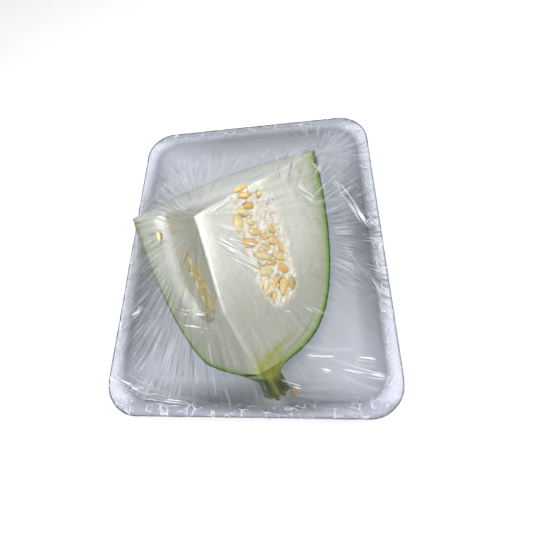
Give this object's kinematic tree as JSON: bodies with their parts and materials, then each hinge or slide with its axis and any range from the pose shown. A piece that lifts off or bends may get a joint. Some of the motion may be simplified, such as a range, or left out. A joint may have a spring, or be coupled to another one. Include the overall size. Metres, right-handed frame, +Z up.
{
  "type": "wrapped winter melon wedge",
  "caption": "Wedge of winter melon with seeds and stem, lying on a rounded foam tray under stretched clear film.",
  "frame": {"origin": "middle of the wrapped tray's underside, on the surface it rests on", "axes": "+X to the right across the tray, +Y along the tray away from the melon's stem, +Z up"},
  "size_m": [0.2116, 0.2576, 0.1087],
  "materials": {
    "melon_flesh": "moist pale green-white cut flesh inside a thin dark green rind",
    "stem": "dry ribbed olive stalk with a brown end",
    "seed": "smooth seed skin from pale yellow to orange",
    "foam": "satin white expanded polystyrene foam",
    "film": "clear glossy stretched film with fine wrinkles"
  },
  "bodies": {
    "root": {"melon_wedge": "melon_flesh", "stem": "stem", "foam_tray": "foam", "cling_film": "film", "seed_right_01": "seed", "seed_right_02": "seed", "seed_right_03": "seed", "seed_right_04": "seed", "seed_right_05": "seed", "seed_right_06": "seed", "seed_right_07": "seed", "seed_right_08": "seed", "seed_right_09": "seed", "seed_right_10": "seed", "seed_right_11": "seed", "seed_right_12": "seed", "seed_right_13": "seed", "seed_right_14": "seed", "seed_right_15": "seed", "seed_right_16": "seed", "seed_right_17": "seed", "seed_right_18": "seed", "seed_right_19": "seed", "seed_right_20": "seed", "seed_right_21": "seed", "seed_right_22": "seed", "seed_right_23": "seed", "seed_right_24": "seed", "seed_left_01": "seed", "seed_left_02": "seed", "seed_left_03": "seed", "seed_left_04": "seed", "seed_left_05": "seed", "seed_left_06": "seed", "seed_left_07": "seed", "seed_left_08": "seed", "seed_stray_01": "seed", "seed_loose": "seed"}
  },
  "joints": []
}
